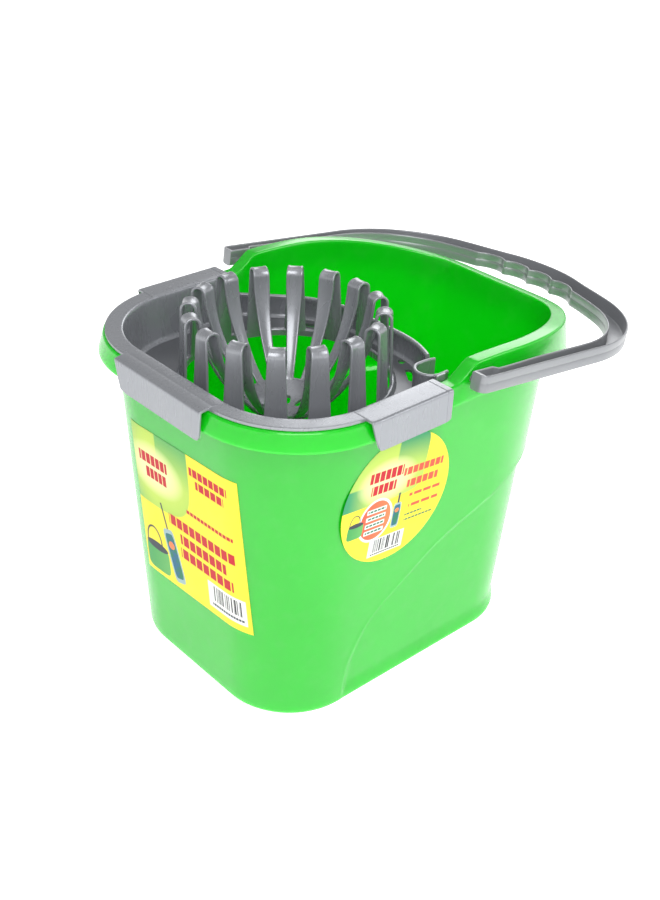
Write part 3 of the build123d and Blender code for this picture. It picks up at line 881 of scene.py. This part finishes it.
def build_handle():
    verts = []
    stations = handle_stations()
    for outer, inner, web in stations:
        outer, inner = np.array(outer), np.array(inner)
        width = hypot(*(inner - outer))
        across = (inner - outer) / width
        verts += [tilted(*(outer + across * a), n) for a, n in channel_section(width, web)]
    piece("swing_handle", verts, tube_faces(len(stations), len(verts) // len(stations)), "handle",
          GREY, ("near_arm", "far_arm", "grip"), sharp=50)


# --- stickers ------------------------------------------------------------------------------
def rect_mask(tree, u, v, x0, x1, y0, y1, soft=0.3):
    """1 inside a rectangle given in millimetres on the sticker."""
    masks = [ramp(tree, u, x0 - soft, x0 + soft), ramp(tree, u, x1 - soft, x1 + soft, 1, 0),
             ramp(tree, v, y0 - soft, y0 + soft), ramp(tree, v, y1 - soft, y1 + soft, 1, 0)]
    result = masks[0]
    for mask in masks[1:]:
        result = math_node(tree, "MULTIPLY", result, mask)
    return result


def turned(tree, u, v, cx, cy, degrees_ccw):
    """Coordinates about (cx, cy), turned so that a tilted figure lies straight."""
    c, s = cos(radians(degrees_ccw)), sin(radians(degrees_ccw))
    du, dv = math_node(tree, "SUBTRACT", u, cx), math_node(tree, "SUBTRACT", v, cy)
    a = math_node(tree, "ADD", math_node(tree, "MULTIPLY", du, c), math_node(tree, "MULTIPLY", dv, s))
    b = math_node(tree, "SUBTRACT", math_node(tree, "MULTIPLY", dv, c),
                  math_node(tree, "MULTIPLY", du, s))
    return a, b


def oval_mask(tree, u, v, cx, cy, rx, ry, power=2.0, soft=0.03):
    """1 inside an oval; a higher power makes it a rounded rectangle."""
    a, b = (math_node(tree, "POWER", math_node(tree, "ABSOLUTE", math_node(
        tree, "DIVIDE", math_node(tree, "SUBTRACT", w, c), r)), power)
        for w, c, r in ((u, cx, rx), (v, cy, ry)))
    return ramp(tree, math_node(tree, "ADD", a, b), 1 - soft, 1 + soft, 1, 0)


def ring_mask(tree, u, v, cx, cy, rx, ry, thick):
    outer = oval_mask(tree, u, v, cx, cy, rx, ry)
    inner = oval_mask(tree, u, v, cx, cy, rx - thick, ry - thick)
    return math_node(tree, "SUBTRACT", outer, inner, clamp=True)


YELLOW = (0.96, 0.80, 0.06)
LEAF = (0.06, 0.36, 0.10)
MINT = (0.15, 0.46, 0.13)
LIME = (0.38, 0.62, 0.09)
CORAL = (0.78, 0.10, 0.06)
PEACH = (0.86, 0.24, 0.09)
RED = (0.56, 0.020, 0.035)
BLUE = (0.03, 0.14, 0.26)
TEAL = (0.03, 0.20, 0.11)
PALE_BLUE = (0.34, 0.48, 0.52)
WHITE = (0.93, 0.93, 0.92)
INK = (0.03, 0.03, 0.035)
SLATE = (0.05, 0.06, 0.08)
HALO = (0.90, 0.90, 0.45)


def sticker_material(name, paint):
    """Printed glossy paper; paint() lays its colours over a yellow ground."""
    mat, tree, bsdf = node_material(name)
    uv = add(tree, "ShaderNodeUVMap")
    uv.uv_map = "print"
    split = add(tree, "ShaderNodeSeparateXYZ")
    link(tree, uv.outputs[0], split.inputs[0])
    u, v = (math_node(tree, "MULTIPLY", split.outputs[i], PRINT_SCALE) for i in (0, 1))
    coords = object_coords(tree)
    cloud = noise(tree, coords, 25.0)
    ground = mix_colour(tree, ramp(tree, cloud, 0.3, 0.7), YELLOW, (0.94, 0.77, 0.05))
    link(tree, paint(tree, u, v, ground), bsdf.inputs["Base Color"])
    link(tree, ramp(tree, noise(tree, coords, 70.0), 0.3, 0.7, 0.34, 0.42), bsdf.inputs["Roughness"])
    set_inputs(bsdf, Specular_IOR_Level=0.16)
    relief(tree, bsdf, 0.10, noise(tree, coords, 120.0))
    return mat


def broken_bar(tree, u, v, base, box, colour, pitch, offset=0.0):
    """A row of short plain blocks standing where the real sticker has a line of print."""
    x0, x1, y0, y1 = box
    wave = math_node(tree, "FRACT", math_node(tree, "DIVIDE", math_node(tree, "ADD", u, offset), pitch))
    gaps = ramp(tree, wave, 0.12, 0.20)
    mask = math_node(tree, "MULTIPLY", rect_mask(tree, u, v, x0, x1, y0, y1), gaps)
    return mix_colour(tree, mask, base, colour)


def upright_bars(tree, u, v, base, box):
    """A block of plain upright bars of uneven width."""
    wave = tree.nodes.new("ShaderNodeTexNoise")
    wave.noise_dimensions = "1D"
    set_inputs(wave, Scale=0.62, Detail=2.0, Roughness=0.6)
    link(tree, u, wave.inputs["W"])
    on = ramp(tree, wave.outputs["Fac"], 0.485, 0.515)
    mask = rect_mask(tree, u, v, *box)
    return mix_colour(tree, math_node(tree, "MULTIPLY", on, mask), base, INK)


def small_tub(tree, u, v, base, cx, cy, size):
    """Plain little tub with a bail, in two greens."""
    base = mix_colour(tree, ring_mask(tree, u, v, cx - 0.1 * size, cy + 0.35 * size, 0.38 * size,
                                      0.55 * size, 0.06 * size), base, SLATE)
    body = oval_mask(tree, u, v, cx, cy - 0.15 * size, 0.55 * size, 0.45 * size, 5.0)
    shade = mix_colour(tree, ramp(tree, u, cx - 0.5 * size, cx + 0.6 * size), LEAF, MINT)
    base = mix_colour(tree, body, base, shade)
    return mix_colour(tree, oval_mask(tree, u, v, cx, cy + 0.25 * size, 0.52 * size, 0.14 * size),
                      base, SLATE)


def small_flask(tree, u, v, base, cx, cy, lean, wide, tall, rod):
    """Plain slim pack with a dark rod standing in it, leaning over."""
    a, b = turned(tree, u, v, cx, cy, lean)
    base = mix_colour(tree, rect_mask(tree, a, b, -0.9, 0.9, tall * 0.4, tall * 0.5 + rod), base, SLATE)
    edge = oval_mask(tree, a, b, 0, 0, wide * 0.5, tall * 0.5, 6.0)
    base = mix_colour(tree, edge, base, PALE_BLUE)
    fill = mix_colour(tree, ramp(tree, noise(tree, object_coords(tree), 160.0, 2.0), 0.42, 0.58), BLUE, TEAL)
    base = mix_colour(tree, oval_mask(tree, a, b, 0, 0, wide * 0.38, tall * 0.42, 6.0), base, fill)
    return mix_colour(tree, oval_mask(tree, a, b, 0, tall * 0.2, wide * 0.26, wide * 0.24), base, PEACH)


def paint_front(tree, u, v, base):
    """Front sticker: u and v in millimetres from its middle, u to the right."""
    field = oval_mask(tree, u, v, -52, 58, 59, 58, 4.0)
    shade = mix_colour(tree, ramp(tree, u, -62, -40), MINT, LIME)
    light = oval_mask(tree, u, v, -35, 34, 40, 30, 2.0, 0.95)
    shade = mix_colour(tree, light, shade, (0.62, 0.76, 0.14))
    top = math_node(tree, "MULTIPLY", ramp(tree, u, -31, -30), ramp(tree, v, 30, 62))
    shade = mix_colour(tree, top, shade, MINT)
    base = mix_colour(tree, field, base, shade)
    halo = oval_mask(tree, u, v, -35, 32, 27, 17, 2.0, 0.7)
    base = mix_colour(tree, halo, base, HALO)
    for box, pitch, offset in (
            ((-53, -19, 34.5, 43), 5.6, 0.0), ((-46, -21, 23, 31.5), 5.0, 1.5),
            ((9, 50, 47.5, 54), 6.0, 0.0), ((15, 46, 38.5, 45), 6.6, 2.0),
            ((0, 52, 12.5, 15.5), 4.1, 0.0), ((-23, 53, -6.5, 2), 7.4, 0.0),
            ((-11, 42, -19, -10.5), 7.6, 1.0), ((-12, 48, -31, -22.5), 8.0, 3.0)):
        base = broken_bar(tree, u, v, base, box, RED, pitch, offset)
    base = small_tub(tree, u, v, base, -44, -44, 26)
    base = small_flask(tree, u, v, base, -22, -36, 14, 14, 44, 21)
    base = mix_colour(tree, rect_mask(tree, u, v, 18, 57, -57, -35), base, WHITE)
    base = upright_bars(tree, u, v, base, (24.5, 54.5, -50, -37))
    return broken_bar(tree, u, v, base, (22, 55, -54.5, -52.5), SLATE, 2.6)


def paint_round(tree, u, v, base):
    """Side sticker: a disc with a leafy upper field and a coral oval."""
    u, v = turned(tree, u, v, 0, 0, -6)
    field = oval_mask(tree, u, v, -24, 26, 47, 25, 6.0)
    shade = mix_colour(tree, ramp(tree, math_node(tree, "ADD", u, v), -50, 30), MINT, LIME)
    light = oval_mask(tree, u, v, -12, 16, 34, 26, 2.0, 0.95)
    shade = mix_colour(tree, light, shade, (0.60, 0.72, 0.13))
    top = math_node(tree, "MULTIPLY", ramp(tree, u, -6.5, -5.5), ramp(tree, v, 22, 46))
    low = math_node(tree, "MULTIPLY", ramp(tree, u, -46, -24, 1, 0), ramp(tree, v, 16.5, 17.5, 1, 0))
    shade = mix_colour(tree, math_node(tree, "MAXIMUM", top, low), shade, (0.05, 0.33, 0.15))
    base = mix_colour(tree, field, base, shade)
    halo = oval_mask(tree, u, v, -12, 17, 22, 14, 2.0, 0.7)
    base = mix_colour(tree, halo, base, HALO)
    for box, colour, pitch, offset in (
            ((-29, 2, 18, 26), RED, 5.2, 0.0), ((-26, -3, 8, 15.5), RED, 4.8, 1.0),
            ((3, 41, 16, 22), CORAL, 5.4, 0.0), ((8, 38, 5.5, 11.5), CORAL, 5.8, 1.0),
            ((13, 43, -3, -0.5), CORAL, 9.0, 2.0), ((14, 43, -12, -9.5), CORAL, 10.0, 5.0),
            ((12, 29, -18.6, -17.2), TEAL, 3.4, 0.0), ((12, 40, -22.8, -21.4), TEAL, 3.4, 1.0)):
        base = broken_bar(tree, u, v, base, box, colour, pitch, offset)
    base = mix_colour(tree, oval_mask(tree, u, v, -17, -13, 15.8, 17.2), base, WHITE)
    blend = mix_colour(tree, ramp(tree, u, -34, 0), CORAL, PEACH)
    base = mix_colour(tree, oval_mask(tree, u, v, -17, -13, 14, 15.4), base, blend)
    for row in range(4):
        high = -5 - 5.6 * row
        base = broken_bar(tree, u, v, base, (-26, -8, high - 1.7, high + 1.7), WHITE, 40.0, row)
        base = broken_bar(tree, u, v, base, (-25, -9, high - 0.8, high + 0.8), TEAL, 3.4, row)
    base = small_tub(tree, u, v, base, -35, -15, 13)
    base = small_flask(tree, u, v, base, 3, -15, 0, 7.5, 20, 8)
    a, b = turned(tree, u, v, -1.8, -36.5, 0)
    base = mix_colour(tree, rect_mask(tree, a, b, -16.5, 16.5, -7.5, 7.0), base, WHITE)
    base = upright_bars(tree, a, b, base, (-13, 13.5, -4.5, 6.2))
    return broken_bar(tree, a, b, base, (-14, 14, -6.6, -5.4), SLATE, 2.0)


STICKER_LIFT = 0.22


def build_front_sticker():
    """Rectangle on the front wall, tilted a little, bent round the front corners."""
    width, height, tilt = 121.0, 126.0, radians(-2.5)
    cols, rows = 42, 24
    centre_y, centre_z = -4.5, 133.0
    verts, print_mm = [], []
    for j in range(rows + 1):
        for i in range(cols + 1):
            a = width * (i / cols - 0.5)
            b = height * (j / rows - 0.5)
            y = centre_y - a * cos(tilt) - b * sin(tilt)
            z = centre_z + b * cos(tilt) - a * sin(tilt)
            verts.append((front_x(y, z) - STICKER_LIFT, y, z))
            print_mm.append((a, b))
    sticker("front_sticker", verts, print_mm, grid_faces(rows + 1, cols + 1), paint_front)


def front_x(y, z):
    front, side, front_r = plan_at(z)[:3]
    over = abs(y) - (side - front_r)
    if over <= 0:
        return front
    return front + front_r - sqrt(max(0.0, front_r ** 2 - over ** 2))


def sticker(node, verts, print_mm, faces, paint):
    name = node + "_print"
    obj = piece(name, verts, faces, "bucket", sticker_material(name, paint), (node,))
    layer = obj.data.uv_layers.new(name="print")
    for loop in obj.data.loops:
        a, b = print_mm[loop.vertex_index]
        layer.data[loop.index].uv = (a / PRINT_SCALE, b / PRINT_SCALE)


def build_round_sticker():
    """Disc on the near side wall, as a polar grid."""
    radius, cx, cz = 50.0, -41.0, 171.0
    rings, spokes = 14, 72
    verts, print_mm = [], []
    for j in range(rings + 1):
        r = radius * (0.02 + 0.98 * j / rings)
        for i in range(spokes):
            angle = 2 * pi * i / spokes
            a, b = r * cos(angle), r * sin(angle)
            verts.append((cx + a, -plan_at(cz + b)[1] - STICKER_LIFT, cz + b))
            print_mm.append((a, b))
    faces = grid_faces(rings + 1, spokes, wrap_cols=True) + [tuple(range(spokes))[::-1]]
    sticker("round_sticker", verts, print_mm, faces, paint_round)


# --- stage ------------------------------------------------------------------------------------
LIGHT_TARGET = Vector((0.0, 0.0, 0.15))


def build_stage():
    half = 40.0
    mesh = bpy.data.meshes.new("floor")
    mesh.from_pydata([(-half, -half, 0), (half, -half, 0), (half, half, 0), (-half, half, 0)], [],
                     [(0, 1, 2, 3)])
    floor = bpy.data.objects.new("floor", mesh)
    bpy.context.scene.collection.objects.link(floor)
    mat, tree, bsdf = node_material("floor_white")
    tone = mix_colour(tree, noise(tree, object_coords(tree), 3.0), (0.93, 0.93, 0.93), (0.95, 0.95, 0.95))
    link(tree, tone, bsdf.inputs["Base Color"])
    set_inputs(bsdf, Roughness=0.85, Specular_IOR_Level=0.1, Emission_Color=(1, 1, 1, 1),
               Emission_Strength=0.74)
    mesh.materials.append(mat)


def area_light(name, place, size, power):
    data = bpy.data.lights.new(name, "AREA")
    data.shape = "RECTANGLE"
    data.size, data.size_y = size
    data.energy = power
    obj = bpy.data.objects.new(name, data)
    bpy.context.scene.collection.objects.link(obj)
    obj.location = place
    aim = LIGHT_TARGET - Vector(place)
    obj.rotation_euler = aim.to_track_quat("-Z", "Y").to_euler()
    obj.visible_camera = False


def build_lights():
    world = bpy.data.worlds.new("studio")
    bpy.context.scene.world = world
    world.use_nodes = True
    tree = world.node_tree
    background = tree.nodes["Background"]
    background.inputs[0].default_value = (1.0, 1.0, 1.0, 1)
    split = add(tree, "ShaderNodeSeparateXYZ")
    link(tree, add(tree, "ShaderNodeTexCoord").outputs["Generated"], split.inputs[0])
    link(tree, ramp(tree, split.outputs[2], 0.06, 0.42, 1.05, 0.34), background.inputs[1])
    area_light("front", (-0.70, -0.88, 1.15), (0.9, 1.1), 13.5)
    area_light("fill", (1.0, -1.1, 1.0), (0.8, 0.6), 4.5)
    area_light("top", (0.05, 0.1, 1.5), (0.9, 0.9), 1.5)
    area_light("back", (1.2, 0.8, 0.9), (0.9, 0.9), 7.0)


CAMERA_AZIMUTH, CAMERA_ELEVATION, CAMERA_ROLL = -42.37, 31.07, 1.886
CAMERA_TARGET = Vector((13.92, 19.33, 127.23)) * MM
CAMERA_DISTANCE = 984.19 * MM
CAMERA_LENS = 50.398


def build_camera():
    a, e, roll = (radians(v) for v in (CAMERA_AZIMUTH, CAMERA_ELEVATION, CAMERA_ROLL))
    back = Vector((sin(a) * cos(e), -cos(a) * cos(e), sin(e)))
    right = Vector((cos(a), sin(a), 0))
    up = back.cross(right)
    right_r = right * cos(roll) + up * sin(roll)
    up_r = up * cos(roll) - right * sin(roll)
    data = bpy.data.cameras.new("camera")
    data.lens = CAMERA_LENS
    data.sensor_width = 36.0
    data.sensor_fit = "AUTO"
    data.clip_start, data.clip_end = 0.01, 50.0
    camera = bpy.data.objects.new("camera", data)
    bpy.context.scene.collection.objects.link(camera)
    basis = Matrix((right_r, up_r, back)).transposed().to_4x4()
    camera.matrix_world = Matrix.Translation(CAMERA_TARGET + back * CAMERA_DISTANCE) @ basis
    bpy.context.scene.camera = camera


def paint_kept_nodes():
    for name, obj in frame["nodes"].items():
        # The tray floor takes the darker grey, painted shade that stands for the shadow inside the tray.
        material = SHADED_TRAY_GREY if name == "tray_floor" else BODY_MATERIALS[obj["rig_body"]]
        if not obj.material_slots:
            obj.data.materials.append(None)
        for slot in obj.material_slots:
            slot.link = "OBJECT"
            slot.material = material


paint_kept_nodes()
build_bucket()
build_shell()
build_clips()
build_rear_wall()
build_rest()
build_wing()
build_fingers()
build_collar()
build_handle()
build_front_sticker()
build_round_sticker()
build_stage()
build_lights()
build_camera()
bpy.context.scene.view_settings.view_transform = "Standard"
